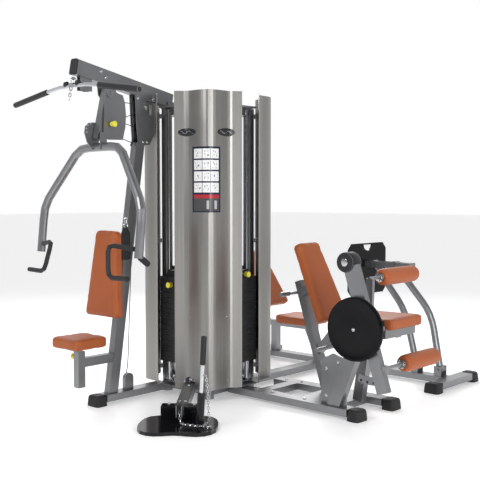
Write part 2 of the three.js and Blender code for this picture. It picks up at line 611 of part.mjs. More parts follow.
function legPress() {
  const half = railWide / 2;
  const hubLug = (p, side) => bar(v(p.x, yD + side * 38, 60), v(p.x, yD + side * 38, p.z + 26), 60, 8);
  const parts = [
    block(-640, yD - half, railLow, 1245, yD + half, railHigh - gap),
    block(100, 258, railLow, 200, yD, railHigh - gap),
    block(1240, 1060, railLow, 1340, 1510, railHigh - gap),
    block(-640, 1060, railLow, -540, 1510, railHigh - gap),
    ...pressLow.flatMap((p) => [hubLug(p, -1), hubLug(p, 1)]),
    bar(v(-430, yD, 60), v(-430, yD, 310), 60, 60),
    bar(v(60, yD, 60), v(-60, yD, 310), 60, 60),
    block(-700, yD - 30, 290, 20, yD + 30, 338),
    bar(v(-640, yD, 340), v(-700, yD, 760), 60, 50, v(0, 1, 0)),
    bar(v(-665, yD, 664), v(-610.4, yD, 698.1), 50, 60),
  ];
  const bores = pressLow.map((p) => rod(p.clone().setY(yD - 90), p.clone().setY(yD + 90), 10.5, 16));
  add('leg_press_frame', cut(join(...parts), ...bores), silver);
  foot('leg_press_foot_near', 1290, 1060, 0, -1);
  foot('leg_press_foot_far', 1290, 1510, 0, 1);

  pressLow.forEach((low, i) => {
    const high = pressHigh[i];
    const rear = i === 0;
    const knee = v(rear ? 880 : 1112, yD, rear ? 540 : 530);
    const tube = pipe([low, knee, high], 26, 120, 5, 14);
    const pins = [low, high].map((p) => rod(p.clone().setY(yD - 50), p.clone().setY(yD + 50), 10, 14));
    const hubs = [low, high].map((p) => rod(p.clone().setY(yD - 32), p.clone().setY(yD + 32), 32, 18));
    add(rear ? 'leg_press_arm_rear' : 'leg_press_arm_front', join(tube, ...hubs, ...pins), silver);
  });

  const [a, b] = pressHigh;
  const rail = (side) => block(a.x - 40, yD + side * 38 - 4, a.z - 23, b.x + 150, yD + side * 38 + 4, a.z + 23);
  const carriage = join(
    rail(-1), rail(1),
    block(a.x - 60, yD - 42, a.z - 23, a.x - 38, yD + 42, a.z + 23),
    block(b.x + 60, yD - 42, a.z - 23, b.x + 150, yD + 42, a.z + 23),
  );
  // the front arm's upper pivot is left open: its hole is wide enough to pass the pin at every angle
  const pinHoles = [
    rod(a.clone().setY(yD - 90), a.clone().setY(yD + 90), 10.5, 16),
    rod(b.clone().setY(yD - 90), b.clone().setY(yD + 90), 13, 16),
  ];
  add('leg_press_carriage', cut(carriage, ...pinHoles), silver);
  const outline = [[-225, 640], [225, 640], [262, 680], [262, 1000], [215, 1048],
    [-215, 1048], [-262, 1000], [-262, 680]];
  const grip = [[-58, 1036], [58, 1036], [50, 1010], [28, 994], [0, 988], [-28, 994], [-50, 1010]];
  const onPlate = (shape, thick) => sheetPlate(shape, thick, v(a.x - 66.6, yD, 0), v(0, 1, 0), v(0, 0, 1));
  const plate = cut(onPlate(outline, 12), onPlate(grip, 30));
  add('leg_press_footplate', plate, black);
  add('leg_press_seat_pad', pad(330, 330, 380, padThick, v(-330, yD, 338.3), v(0, -1, 0), v(1, 0, 0), 50), orange);
  const lean = THREE.MathUtils.degToRad(32);
  add('leg_press_back_pad', pad(330, 230, 560, padThick, v(-450, yD, 445), v(0, 1, 0),
    v(-Math.sin(lean), 0, Math.cos(lean)), 45), orange);
}

tower();
stack('leg', 0, 3, true);
stack('leg_press', 1, 1, false);
stack('row', 2, 1, false);
stack('press', 3, 1, true);
pressFrame();
pressArm();
latBar();
pressSeat();
lowRow();
legFrame();
legBack();
legLever();
thighRoller();
legPress();

// the origin is the middle of the floor box
gym.updateMatrixWorld(true);
const extent = new THREE.Box3().setFromObject(gym, true);
const middle = extent.getCenter(new THREE.Vector3());
const floor = extent.min.z;
gym.position.set(-middle.x, -middle.y, -floor);
gym.updateMatrixWorld(true);

export default gym;
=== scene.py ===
# Multi station home gym: a tower of weight stacks with press, row, leg and leg press stations round it.
import json
import math

import bpy
import numpy as np
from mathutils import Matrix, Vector


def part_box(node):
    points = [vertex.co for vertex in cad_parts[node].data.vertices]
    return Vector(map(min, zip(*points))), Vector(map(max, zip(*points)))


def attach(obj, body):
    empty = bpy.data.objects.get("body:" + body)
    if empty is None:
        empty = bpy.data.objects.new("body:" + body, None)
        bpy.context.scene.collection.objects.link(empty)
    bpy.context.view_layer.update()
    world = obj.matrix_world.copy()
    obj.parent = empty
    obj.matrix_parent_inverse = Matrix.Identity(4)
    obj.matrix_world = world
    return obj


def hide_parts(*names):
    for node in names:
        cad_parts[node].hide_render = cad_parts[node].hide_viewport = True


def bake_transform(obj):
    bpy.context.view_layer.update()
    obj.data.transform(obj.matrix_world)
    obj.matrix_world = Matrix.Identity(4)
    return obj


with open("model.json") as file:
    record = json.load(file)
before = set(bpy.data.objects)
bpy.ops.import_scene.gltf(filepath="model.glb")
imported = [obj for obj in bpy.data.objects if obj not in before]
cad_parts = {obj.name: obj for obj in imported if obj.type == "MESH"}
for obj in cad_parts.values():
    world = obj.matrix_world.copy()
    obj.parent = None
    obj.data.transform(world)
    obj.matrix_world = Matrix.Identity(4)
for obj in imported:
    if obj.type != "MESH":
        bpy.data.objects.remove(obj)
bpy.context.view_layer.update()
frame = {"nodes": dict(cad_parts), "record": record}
nodes = frame["nodes"]
print("stage: frame loaded,", len(nodes), "nodes")

towerLow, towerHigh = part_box("tower_frame")
towerAxis = np.array([(towerLow.x + towerHigh.x) / 2, (towerLow.y + towerHigh.y) / 2, 0.0])


def place(x, y, z):  # millimetres from the foot of the tower's axis, to metres in the frame
    return np.array([x, y, z], float) / 1000 + towerAxis


# ---- camera, floor and light ----
studio = {
    "eye": (4351, -4402, 1409), "turn": 42.5, "dip": 2.85, "lens": 63.4,
    "floorReach": 60.0, "floorTint": (0.93, 0.93, 0.93), "floorGlow": 0.28,
    "skyDark": (0.16, 0.165, 0.17), "skyMiddle": (0.3, 0.305, 0.31), "skyPale": (1.0, 1.0, 1.0), "skyPower": 1.0,
    "toBack": (-0.68, 0.73, 0.0),  # the way in which the sky is pale
}


def makeCamera():
    camera = bpy.data.objects.new("camera", bpy.data.cameras.new("camera"))
    camera.data.lens = studio["lens"]
    camera.data.sensor_width = 36
    camera.data.clip_end = 200
    camera.location = place(*studio["eye"])
    camera.rotation_euler = (math.radians(90 - studio["dip"]), 0, math.radians(studio["turn"]))
    bpy.context.scene.collection.objects.link(camera)
    bpy.context.scene.camera = camera


def softLight(name, spot, target, size, power, tint=(1, 1, 1)):
    lamp = bpy.data.lights.new(name, "AREA")
    lamp.shape = "RECTANGLE"
    lamp.size, lamp.size_y = size
    lamp.energy = power
    lamp.color = tint
    holder = bpy.data.objects.new(name, lamp)
    holder.location = place(*spot)
    aim = Vector(place(*target)) - holder.location
    holder.rotation_euler = aim.to_track_quat("-Z", "Y").to_euler()
    bpy.context.scene.collection.objects.link(holder)
    return holder


makeCamera()
softLight("keyLight", (600, -5200, 3900), (200, -300, 900), (2.6, 2.0), 120)
softLight("fillLight", (6200, -900, 2600), (500, 0, 900), (2.4, 2.4), 70)
softLight("stripLight", (5600, -2300, 1900), (300, -300, 1200), (0.9, 3.8), 95)
softLight("backLight", (-2600, 3600, 3600), (200, 300, 900), (3.0, 2.0), 150)
print("stage: camera and lights set")


# ---- shader sums ----
class Wire:
    # one socket of a material, so that shader maths reads as sums
    def __init__(self, tree, socket=None):
        self.tree = tree
        self.socket = socket

    def node(self, kind, settings=None, values=None, out=0):
        made = self.tree.nodes.new(kind)
        for name, value in (settings or {}).items():
            if name == "stops":
                stops = made.color_ramp.elements
                while len(stops) < len(value):
                    stops.new(0.5)
                for stop, (spot, tint) in zip(stops, value):
                    stop.position = spot
                    stop.color = (*tint, 1)
            else:
                setattr(made, name, value)
        for name, value in (values or {}).items():
            if isinstance(value, Wire):
                self.tree.links.new(value.socket, made.inputs[name])
            elif value is not None:
                made.inputs[name].default_value = value
        return Wire(self.tree, made.outputs[out])

    def sum(self, operation, first, second=None):
        return self.node("ShaderNodeMath", {"operation": operation}, {0: first, 1: second})

    def __add__(self, other):
        return self.sum("ADD", self, other)

    def __sub__(self, other):
        return self.sum("SUBTRACT", self, other)

    def __rsub__(self, other):
        return self.sum("SUBTRACT", other, self)

    def __mul__(self, other):
        return self.sum("MULTIPLY", self, other)

    def __truediv__(self, other):
        return self.sum("DIVIDE", self, other)

    def __gt__(self, other):
        return self.sum("GREATER_THAN", self, other)

    def __lt__(self, other):
        return self.sum("LESS_THAN", self, other)

    def __abs__(self):
        return self.sum("ABSOLUTE", self)

    __radd__ = __add__
    __rmul__ = __mul__


def blendTint(factor, low, high):  # colour low where factor is 0, high where it is 1
    low, high = [(*c, 1) if isinstance(c, tuple) else c for c in (low, high)]
    return factor.node("ShaderNodeMix", {"data_type": "RGBA"}, {0: factor, 6: low, 7: high}, out=2)


def cloud(wire, scale, detail=3, stretch=None):  # noise on the object's own coordinates
    spot = wire.node("ShaderNodeTexCoord", out="Object")
    if stretch:
        spot = wire.node("ShaderNodeVectorMath", {"operation": "MULTIPLY"}, {0: spot, 1: stretch})
    return wire.node("ShaderNodeTexNoise", None, {"Vector": spot, "Scale": scale, "Detail": detail})


def dents(wire, height, depth, strength=1.0):
    return wire.node("ShaderNodeBump", None, {"Height": height, "Distance": depth, "Strength": strength})


def finish(name, recipe):  # recipe takes a Wire and gives the values of the surface's sockets
    material = bpy.data.materials.new(name)
    material.use_nodes = True
    tree = material.node_tree
    tree.nodes.clear()
    start = Wire(tree)
    surface = start.node("ShaderNodeBsdfPrincipled", None, recipe(start))
    tree.links.new(surface.socket, tree.nodes.new("ShaderNodeOutputMaterial").inputs["Surface"])
    return material


silverTints = ((0.21, 0.214, 0.224), (0.31, 0.315, 0.325))
glossTints = ((0.004, 0.004, 0.005), (0.009, 0.009, 0.01))


def silverPaint(wire):  # silver powder coat: fine flake over a slow change of shade
    slow = cloud(wire, 5)
    flake = cloud(wire, 1400, 1)
    return {
        "Base Color": blendTint(slow * 0.7 + flake * 0.3, *silverTints),
        "Metallic": 0.85, "Roughness": 0.26 + slow * 0.1 + flake * 0.06,
        "Normal": dents(wire, flake, 0.0002, 0.25),
    }


def brushedSteel(wire):  # upright brushing, a little warmer than the paint
    fine = cloud(wire, 1, 2, (900, 900, 5))
    broad = cloud(wire, 1, 2, (60, 60, 0.7))
    return {
        "Base Color": blendTint(fine * 0.5 + broad * 0.5, (0.25, 0.242, 0.23), (0.39, 0.38, 0.365)),
        "Metallic": 1.0, "Roughness": 0.3 + fine * 0.12 + broad * 0.08,
        "Normal": dents(wire, fine, 0.00015, 0.3),
    }


def polishedChrome(wire):
    slow = cloud(wire, 14)
    return {"Base Color": blendTint(slow, (0.5, 0.51, 0.53), (0.62, 0.63, 0.65)),
            "Metallic": 1.0, "Roughness": 0.12 + slow * 0.1}


def glossBlack(wire):
    slow = cloud(wire, 9)
    peel = cloud(wire, 240, 1)
    return {"Base Color": blendTint(slow, *glossTints),
            "Roughness": 0.06 + slow * 0.07, "Normal": dents(wire, peel, 0.0001, 0.12), "Specular IOR Level": 0.12}


def castBlack(wire):  # painted weight plates, rubbed brighter in places
    slow = cloud(wire, 16)
    grit = cloud(wire, 420, 2)
    return {"Base Color": blendTint(slow, (0.012, 0.012, 0.013), (0.035, 0.035, 0.037)),
            "Roughness": 0.38 + slow * 0.2, "Normal": dents(wire, grit, 0.0003, 0.35), "Specular IOR Level": 0.3}


def grainedBlack(wire):  # moulded grips and plastic wheels
    slow = cloud(wire, 22)
    grit = cloud(wire, 900, 1)
    return {"Base Color": blendTint(slow, (0.012, 0.012, 0.014), (0.03, 0.03, 0.033)),
            "Roughness": 0.42 + slow * 0.18, "Normal": dents(wire, grit, 0.0003, 0.4), "Specular IOR Level": 0.3}


def yellowPlastic(wire):
    slow = cloud(wire, 40)
    return {"Base Color": blendTint(slow, (0.72, 0.62, 0.03), (0.86, 0.8, 0.08)),
            "Roughness": 0.24 + slow * 0.12}


def orangeCover(wire):  # coated cloth: pebbled grain and a seam line a set way in from the edge
    slow = cloud(wire, 7, 4)
    spot = wire.node("ShaderNodeTexCoord", out="Object")
    pebble = wire.node("ShaderNodeTexVoronoi", None, {"Vector": spot, "Scale": 620.0})
    edge = wire.node("ShaderNodeAttribute", {"attribute_name": "edgeWay"}, out="Fac")
    groove = abs(edge - 0.5) < 0.06
    tint = blendTint(slow, (0.33, 0.08, 0.02), (0.43, 0.107, 0.028))
    return {"Base Color": blendTint(groove * 0.45, tint, (0.2, 0.045, 0.012)),
            "Roughness": 0.42 + slow * 0.14,
            "Normal": dents(wire, pebble * 0.5 + slow * 0.3 - groove * 1.2, 0.0006, 0.5),
            "Specular IOR Level": 0.36}


def footRubber(wire):
    grit = cloud(wire, 320, 2)
    return {"Base Color": blendTint(grit, (0.01, 0.01, 0.011), (0.024, 0.024, 0.026)),
            "Roughness": 0.5 + grit * 0.2, "Normal": dents(wire, grit, 0.0004, 0.4), "Specular IOR Level": 0.35}


def wovenStrap(wire):  # nylon webbing: two crossed sets of fine ridges
    spot = wire.node("ShaderNodeTexCoord", out="Object")
    warp = wire.node("ShaderNodeTexWave", {"bands_direction": "Y"}, {"Vector": spot, "Scale": 120.0})
    weft = wire.node("ShaderNodeTexWave", {"bands_direction": "Z"}, {"Vector": spot, "Scale": 160.0})
    ridges = warp * weft
    return {"Base Color": blendTint(ridges, (0.008, 0.008, 0.009), (0.03, 0.03, 0.033)),
            "Roughness": 0.7 + ridges * 0.15, "Normal": dents(wire, ridges, 0.0005, 0.6)}


rowStation = {"start": (175, -362), "way": -50, "heel": 0.469, "wheel": 0.546, "wheelHalf": 0.022, "wheelLow": 0.05}
rowAlong = np.array([math.cos(math.radians(rowStation["way"])), math.sin(math.radians(rowStation["way"]))])
rowAcross = np.array([-rowAlong[1], rowAlong[0]])


def rowSpot(along, across, z):  # a spot of the row station: out from the tower, to the right, up
    flat = np.array(rowStation["start"]) + rowAlong * along + rowAcross * across
    return (flat[0], flat[1], z)


def rowFinish(wire):  # silver tube up to the heel block and silver wheel brackets; plate, heel and socket black
    spot = wire.node("ShaderNodeTexCoord", out="Object")

    start = place(*rowSpot(0, 0, 0))

    def reach(*way):  # metres from the station's start along a way
        product = wire.node("ShaderNodeVectorMath", {"operation": "DOT_PRODUCT"}, {0: spot, 1: way}, out="Value")
        return product - float(np.dot(start, way))

    out = reach(*rowAlong, 0)
    wheel = (out > rowStation["wheel"]) * (abs(reach(*rowAcross, 0)) < rowStation["wheelHalf"])
    silver = (out < rowStation["heel"]) + wheel * (reach(0, 0, 1) > rowStation["wheelLow"]) > 0.5
    slow = cloud(wire, 9)
    return {"Base Color": blendTint(silver, blendTint(slow, *glossTints), blendTint(slow, *silverTints)),
            "Metallic": silver * 0.85, "Roughness": 0.07 + slow * 0.07 + silver * 0.25, "Specular IOR Level": 0.3}


slotFinish = {
    "silver_paint": finish("silverPaint", silverPaint),
    "shroud_steel": finish("brushedSteel", brushedSteel),
    "chrome": finish("polishedChrome", polishedChrome),
    "black_steel": finish("glossBlack", glossBlack),
    "black_grip": finish("grainedBlack", grainedBlack),
    "pulley_plastic": finish("wheelBlack", grainedBlack),
    "yellow_plastic": finish("yellowPlastic", yellowPlastic),
    "orange_cover": finish("orangeCover", orangeCover),
    "foot_rubber": finish("footRubber", footRubber),
    "strap_webbing": finish("wovenStrap", wovenStrap),
}
castPlates = finish("castBlack", castBlack)


def dress(thing, material):
    if thing.material_slots:
        for socket in thing.material_slots:
            socket.material = material
    else:
        thing.data.materials.append(material)


def dressNodes():
    for entry in frame["record"]["subparts"]:
        dress(nodes[entry["node"]], slotFinish[entry["material_slot"]])
    for name in nodes:
        if name.endswith("_weights"):
            dress(nodes[name], castPlates)
    dress(nodes["row_frame"], finish("rowFinish", rowFinish))


dressNodes()


def plain(name, tint, rough, glow):
    return finish(name, lambda wire: {
        "Base Color": blendTint(cloud(wire, 1.5), tint, tuple(c * 0.97 for c in tint)), "Roughness": rough,
        "Emission Color": (1, 1, 1, 1), "Emission Strength": glow})


def makeStage():
    reach = studio["floorReach"]
    floor = bpy.data.meshes.new("floor")
    floor.from_pydata([(-reach, -reach, 0), (reach, -reach, 0), (reach, reach, 0), (-reach, reach, 0)],
                      [], [(0, 1, 2, 3)])
    sheet = bpy.data.objects.new("floor", floor)
    bpy.context.scene.collection.objects.link(sheet)
    dress(sheet, plain("paleFloor", studio["floorTint"], 0.5, studio["floorGlow"]))
    world = bpy.data.worlds.new("sky")
    world.use_nodes = True
    backdrop = world.node_tree.nodes["Background"]
    sky = Wire(world.node_tree)
    way = sky.node("ShaderNodeTexCoord", out="Generated")
    toBack = sky.node("ShaderNodeVectorMath", {"operation": "DOT_PRODUCT"}, {0: way, 1: studio["toBack"]},
                      out="Value")
    shade = sky.node("ShaderNodeValToRGB", {"stops": [(0.0, studio["skyDark"]), (0.45, studio["skyMiddle"]),
                                                      (0.72, studio["skyPale"]), (1.0, studio["skyPale"])]},
                     {"Fac": toBack * 0.5 + 0.5})
    world.node_tree.links.new(shade.socket, backdrop.inputs["Color"])
    backdrop.inputs["Strength"].default_value = studio["skyPower"]
    bpy.context.scene.world = world
    bpy.context.scene.view_settings.view_transform = "Standard"


makeStage()
print("stage: materials on every node")


# ---- mesh tools ----
def gridFaces(rows, columns, wrapRows=False, wrapColumns=False, start=0):
    # the four-sided faces of a grid of points, rows by columns, counted row by row
    i = np.arange(rows if wrapRows else rows - 1)
    j = np.arange(columns if wrapColumns else columns - 1)
    a, b = [g.ravel() for g in np.meshgrid(i, j, indexing="ij")]
    c, d = (a + 1) % rows, (b + 1) % columns
    return np.stack([a * columns + b, a * columns + d, c * columns + d, c * columns + b], 1) + start


def unit(vector):
    vector = np.asarray(vector, float)
    return vector / np.linalg.norm(vector, axis=-1, keepdims=True)


# ---- pads ----
padding = {
    "voxel": 0.006, "shrink": 0.003, "pressure": 4.0, "frames": 20, "cap": 0.008, "seamIn": 0.016,
    "seamWide": 0.02, "weld": 0.00005,
}
lean = math.radians(32)
tilt = math.radians(25)
padList = [
    {"node": "press_seat_pad", "body": "press_seat", "low": 300, "high": 280, "tall": 300,
     "foot": (-200, -1160, 422), "right": (1, 0, 0), "up": (0, 1, 0)},
    {"node": "press_back_pad", "body": "machine", "low": 365, "high": 225, "tall": 605,
     "foot": (-213, -765, 590), "right": (1, 0, 0), "up": (0, 0.08, 0.9968)},
    {"node": "leg_seat_pad", "body": "machine", "low": 300, "high": 410, "tall": 415,
     "foot": (1100, 300, 578), "right": (0, -1, 0), "up": (1, 0, 0)},
    {"node": "leg_back_pad", "body": "leg_back", "low": 320, "high": 245, "tall": 590,
     "foot": (885, 300, 548), "right": (0, 1, 0), "up": (-math.sin(tilt), 0, math.cos(tilt))},
    {"node": "leg_press_seat_pad", "body": "machine", "low": 330, "high": 330, "tall": 380,
     "foot": (-330, 1285, 338), "right": (0, -1, 0), "up": (1, 0, 0)},
    {"node": "leg_press_back_pad", "body": "machine", "low": 330, "high": 230, "tall": 560,
     "foot": (-450, 1285, 445), "right": (0, 1, 0), "up": (-math.sin(lean), 0, math.cos(lean))},
]


def readPoints(mesh):
    points = np.empty(len(mesh.vertices) * 3, np.float32)
    mesh.vertices.foreach_get("co", points)
    return points.reshape(-1, 3).astype(float)


def writePoints(mesh, points):
    mesh.vertices.foreach_set("co", np.asarray(points, np.float32).ravel())
    mesh.update()


def markEdge(mesh, pad):
    # distance in from the pad's outline, 0 at the rim and 1 well inside: the least of the way to each side,
    # to the foot and to the head, halved so that 0.5 lies on the seam
    local = readPoints(mesh) - place(*pad["foot"])
    along = local @ np.array(pad["up"], float)
    across = np.abs(local @ np.array(pad["right"], float))
    share = np.clip(along / (pad["tall"] / 1000), 0, 1)
    half = (pad["low"] + (pad["high"] - pad["low"]) * share) / 2000
    inward = np.minimum(half - across, np.minimum(along, pad["tall"] / 1000 - along))
    value = np.clip(0.5 + (inward - padding["seamIn"]) / padding["seamWide"], 0, 1)
    mark = mesh.attributes.new("edgeWay", "FLOAT", "POINT")
    mark.data.foreach_set("value", value.astype(np.float32))


def makePad(pad):
    source = nodes[pad["node"]]
    thing = bpy.data.objects.new(pad["node"] + "_cover", source.data.copy())
    bpy.context.scene.collection.objects.link(thing)
    bpy.context.view_layer.objects.active = thing
    weld = thing.modifiers.new("weld", "WELD")
    weld.merge_threshold = padding["weld"]
    bpy.ops.object.modifier_apply(modifier="weld")
    remesh = thing.modifiers.new("remesh", "REMESH")
    remesh.mode = "VOXEL"
    remesh.voxel_size = padding["voxel"]
    bpy.ops.object.modifier_apply(modifier="remesh")
    rest = readPoints(thing.data)
    normals = np.empty(len(thing.data.vertices) * 3, np.float32)
    thing.data.vertices.foreach_get("normal", normals)
    writePoints(thing.data, rest - normals.reshape(-1, 3) * padding["shrink"])
    swell(thing)
    smooth = thing.modifiers.new("smooth", "SMOOTH")
    smooth.iterations = 4
    bpy.ops.object.modifier_apply(modifier="smooth")
    finer = thing.modifiers.new("finer", "SUBSURF")
    finer.levels = finer.render_levels = 1
    bpy.ops.object.modifier_apply(modifier="finer")
    thing.data.polygons.foreach_set("use_smooth", np.ones(len(thing.data.polygons), bool))
    markEdge(thing.data, pad)
    thing.data.materials.clear()
    thing.data.materials.append(slotFinish["orange_cover"])
    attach(thing, pad["body"])
    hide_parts(pad["node"])


def swell(thing):
    # air pressure inside the skin, with the way any point moves held under the cap
    before = readPoints(thing.data)
    cloth = thing.modifiers.new("cloth", "CLOTH")
    cloth.settings.use_pressure = True
    cloth.settings.uniform_pressure_force = padding["pressure"]
    cloth.settings.effector_weights.gravity = 0
    cloth.point_cache.frame_start = 1
    cloth.point_cache.frame_end = padding["frames"]
    for step in range(1, padding["frames"] + 1):
        bpy.context.scene.frame_set(step)
    bpy.ops.object.modifier_apply(modifier="cloth")
    way = readPoints(thing.data) - before
    far = np.linalg.norm(way, axis=1, keepdims=True)
    writePoints(thing.data, before + way * np.minimum(1, padding["cap"] / np.maximum(far, 1e-9)))
    bpy.context.scene.frame_set(1)


for pad in padList:
    makePad(pad)
print("stage: pads made")

# ---- tubes, rings and discs ----
def frames(path):  # tangent, side and lift of a path, the side kept level where it can be
    ahead = unit(np.gradient(path, axis=0))
    guide = np.array([0, 0, 1.0]) if np.abs(ahead[:, 2]).max() < 0.9 else np.array([0.6, 0.8, 0.0])
    side = unit(np.cross(ahead, guide))
    return ahead, side, np.cross(side, ahead)


def smoothPath(points, count):  # a Catmull-Rom curve through the points, evenly sampled
    points = np.asarray(points, float)
    padded = np.vstack([2 * points[0] - points[1], points, 2 * points[-1] - points[-2]])
    spot = np.linspace(0, len(points) - 1, count)
    start = np.minimum(spot.astype(int), len(points) - 2)
    t = (spot - start)[:, None]
    a, b, c, d = (padded[start + k] for k in range(4))
    bend, twist = 2 * a - 5 * b + 4 * c - d, 3 * b - a - 3 * c + d
    return 0.5 * (2 * b + (c - a) * t + bend * t ** 2 + twist * t ** 3)


def tube(path, radii, sides=14):
    # points round each station of the path at its own radius, closed by a point at each end
    ahead, side, lift = frames(path)
    turn = np.arange(sides) * 2 * np.pi / sides
    ring = np.cos(turn)[:, None] * side[:, None] + np.sin(turn)[:, None] * lift[:, None]
    radii = np.broadcast_to(np.asarray(radii, float), len(path))
    points = (path[:, None] + ring * radii[:, None, None]).reshape(-1, 3)
    faces = gridFaces(len(path), sides, wrapColumns=True)
    return closeEnds(points, faces, path, sides)


def closeEnds(points, faces, path, sides, rows=None):
    first, last = len(points), len(points) + 1
    points = np.vstack([points, path[0], path[-1]])
    i = np.arange(sides)
    j = (i + 1) % sides
    end = ((rows or len(path)) - 1) * sides
    near = np.stack([np.full(sides, first), j, i, np.full(sides, first)], 1)
    far = np.stack([np.full(sides, last), end + i, end + j, np.full(sides, last)], 1)
    return points, [tuple(f) for f in faces] + [tuple(f[:3]) for f in near] + [tuple(f[:3]) for f in far]


def turned(foot, axis, profile, sides=28):
    # a profile of (way along the axis, radius) turned round the axis
    axis = unit(axis)
    profile = np.asarray(profile, float)
    path = np.asarray(foot, float) + profile[:, :1] * axis
    guide = np.array([0, 0, 1.0]) if abs(axis[2]) < 0.9 else np.array([1.0, 0, 0])
    side = unit(np.cross(axis, guide))
    lift = np.cross(side, axis)
    turn = np.arange(sides) * 2 * np.pi / sides
    ring = np.cos(turn)[:, None] * side + np.sin(turn)[:, None] * lift
    points = (path[:, None] + ring[None] * profile[:, 1][:, None, None]).reshape(-1, 3)
    return closeEnds(points, gridFaces(len(profile), sides, wrapColumns=True), path, sides)


def outward(points, faces):
    # the faces as they are, or all turned about where the closed shell's signed volume comes out negative:
    # the sum over its triangles of a corner dotted with the cross product of the other two
    corners = points - points.mean(axis=0)
    volume = 0.0
    for size in {len(face) for face in faces}:
        group = np.array([face for face in faces if len(face) == size])
        for k in range(1, size - 1):
            volume += (corners[group[:, 0]] * np.cross(corners[group[:, k]], corners[group[:, k + 1]])).sum()
    return faces if volume > 0 else [tuple(face)[::-1] for face in faces]


def gather(parts):  # several point and face lists as one, every shell facing out
    points, faces, start = [], [], 0
    for some, shell in parts:
        points.append(some)
        faces += [tuple(int(k) + start for k in face) for face in outward(some, shell)]
        start += len(some)
    return np.vstack(points), faces


def pieceFrom(name, parts, material, body, smooth=True):
    points, faces = gather(parts)
    mesh = bpy.data.meshes.new(name)
    mesh.from_pydata(points.tolist(), [], faces)
    mesh.polygons.foreach_set("use_smooth", np.full(len(mesh.polygons), smooth))
    mesh.materials.append(material)
    mesh.update()
    thing = bpy.data.objects.new(name, mesh)
    bpy.context.scene.collection.objects.link(thing)
    if body:
        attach(thing, body)
    if smooth:
        mesh.set_sharp_from_angle(angle=math.radians(40))
    return thing


def spots(*millimetres):
    return np.array([place(*p) for p in millimetres])


def slab(front, back):
    # two like grids of points, one behind the other, closed by a wall that follows their rim
    rows, columns = front.shape[:2]
    count = rows * columns
    grid = gridFaces(rows, columns)
    rim = np.concatenate([np.arange(columns), np.arange(1, rows) * columns + columns - 1,
                          np.arange(columns - 2, -1, -1) + (rows - 1) * columns,
                          np.arange(rows - 2, 0, -1) * columns])
    after = np.roll(rim, -1)
    wall = np.stack([rim + count, after + count, after, rim], 1)
    return np.vstack([front.reshape(-1, 3), back.reshape(-1, 3)]), [*grid, *(grid + count)[:, ::-1], *wall]


def square(value, power):  # a sine or cosine pushed out by a power, which turns a round outline boxy
    return np.sign(value) * np.abs(value) ** (2 / power)


# ---- the placard and the two badges on the front shroud ----
shroudSheet = {"reach": 360, "bulge": 100, "span": 165, "power": 0.85, "angle": -45}


def onShroud(s, z, lift):
    # a point on the front shroud: s across, z up; the round middle is a raised cosine to a power
    reach = np.minimum(np.abs(s) / shroudSheet["span"], 1)
    deep = shroudSheet["reach"] + shroudSheet["bulge"] * (0.5 + 0.5 * np.cos(np.pi * reach)) ** shroudSheet["power"]
    turn = math.radians(shroudSheet["angle"])
    out = np.array([math.cos(turn), math.sin(turn)])
    across = np.array([-out[1], out[0]])
    flat = (deep + lift)[..., None] * out + s[..., None] * across
    return np.concatenate([flat, z[..., None]], -1) / 1000 + towerAxis


placard = {"middle": -13, "low": 1311, "high": 1757, "wide": 190, "lift": 1.6, "back": 0.4}
badge = {"middles": (-146, 124), "height": 1857, "wide": 122, "tall": 56, "lift": 3.4, "back": 0.4}


def placardFace(wire):
    # navy border, four rows of three white panels with small grey marks, a red band and a grey foot
    uv = wire.node("ShaderNodeUVMap", {"uv_map": "sheet"})
    split = wire.tree.nodes.new("ShaderNodeSeparateXYZ")
    wire.tree.links.new(uv.socket, split.inputs[0])
    x, y = Wire(wire.tree, split.outputs[0]), Wire(wire.tree, split.outputs[1])
    inside = (x > 0.05) * (x < 0.95) * (y > 0.02) * (y < 0.98)
    column = ((x - 0.05) * (3 / 0.9)).sum("FRACT", (x - 0.05) * (3 / 0.9))
    row = ((y - 0.29) * (4 / 0.69)).sum("FRACT", (y - 0.29) * (4 / 0.69))
    panel = inside * (y > 0.29) * (abs(column - 0.5) < 0.47) * (abs(row - 0.5) < 0.43)
    marks = wire.node("ShaderNodeTexNoise", None, {"Vector": uv, "Scale": 26.0, "Detail": 1.0}) > 0.6
    band = inside * (y > 0.215) * (y < 0.27)
    foot = inside * (y < 0.215)
    body = foot * (((abs(x - 0.55) < 0.045) + (abs(x - 0.83) < 0.045)) > 0.5) * (y > 0.05) * (y < 0.18)
    tint = blendTint(panel, (0.008, 0.01, 0.035), (0.78, 0.78, 0.78))
    tint = blendTint(panel * marks * (abs(column - 0.5) < 0.33) * (abs(row - 0.5) < 0.3), tint, (0.2, 0.2, 0.22))
    tint = blendTint(band, tint, (0.42, 0.02, 0.03))
    tint = blendTint(foot, tint, (0.06, 0.06, 0.065))
    tint = blendTint(body, tint, (0.45, 0.45, 0.46))
    return {"Base Color": tint, "Roughness": 0.28 + panel * 0.08}


def badgeFace(wire):
    slow = cloud(wire, 60)
    return {"Base Color": blendTint(slow, (0.012, 0.012, 0.014), (0.03, 0.03, 0.034)),
            "Roughness": 0.2 + slow * 0.1}


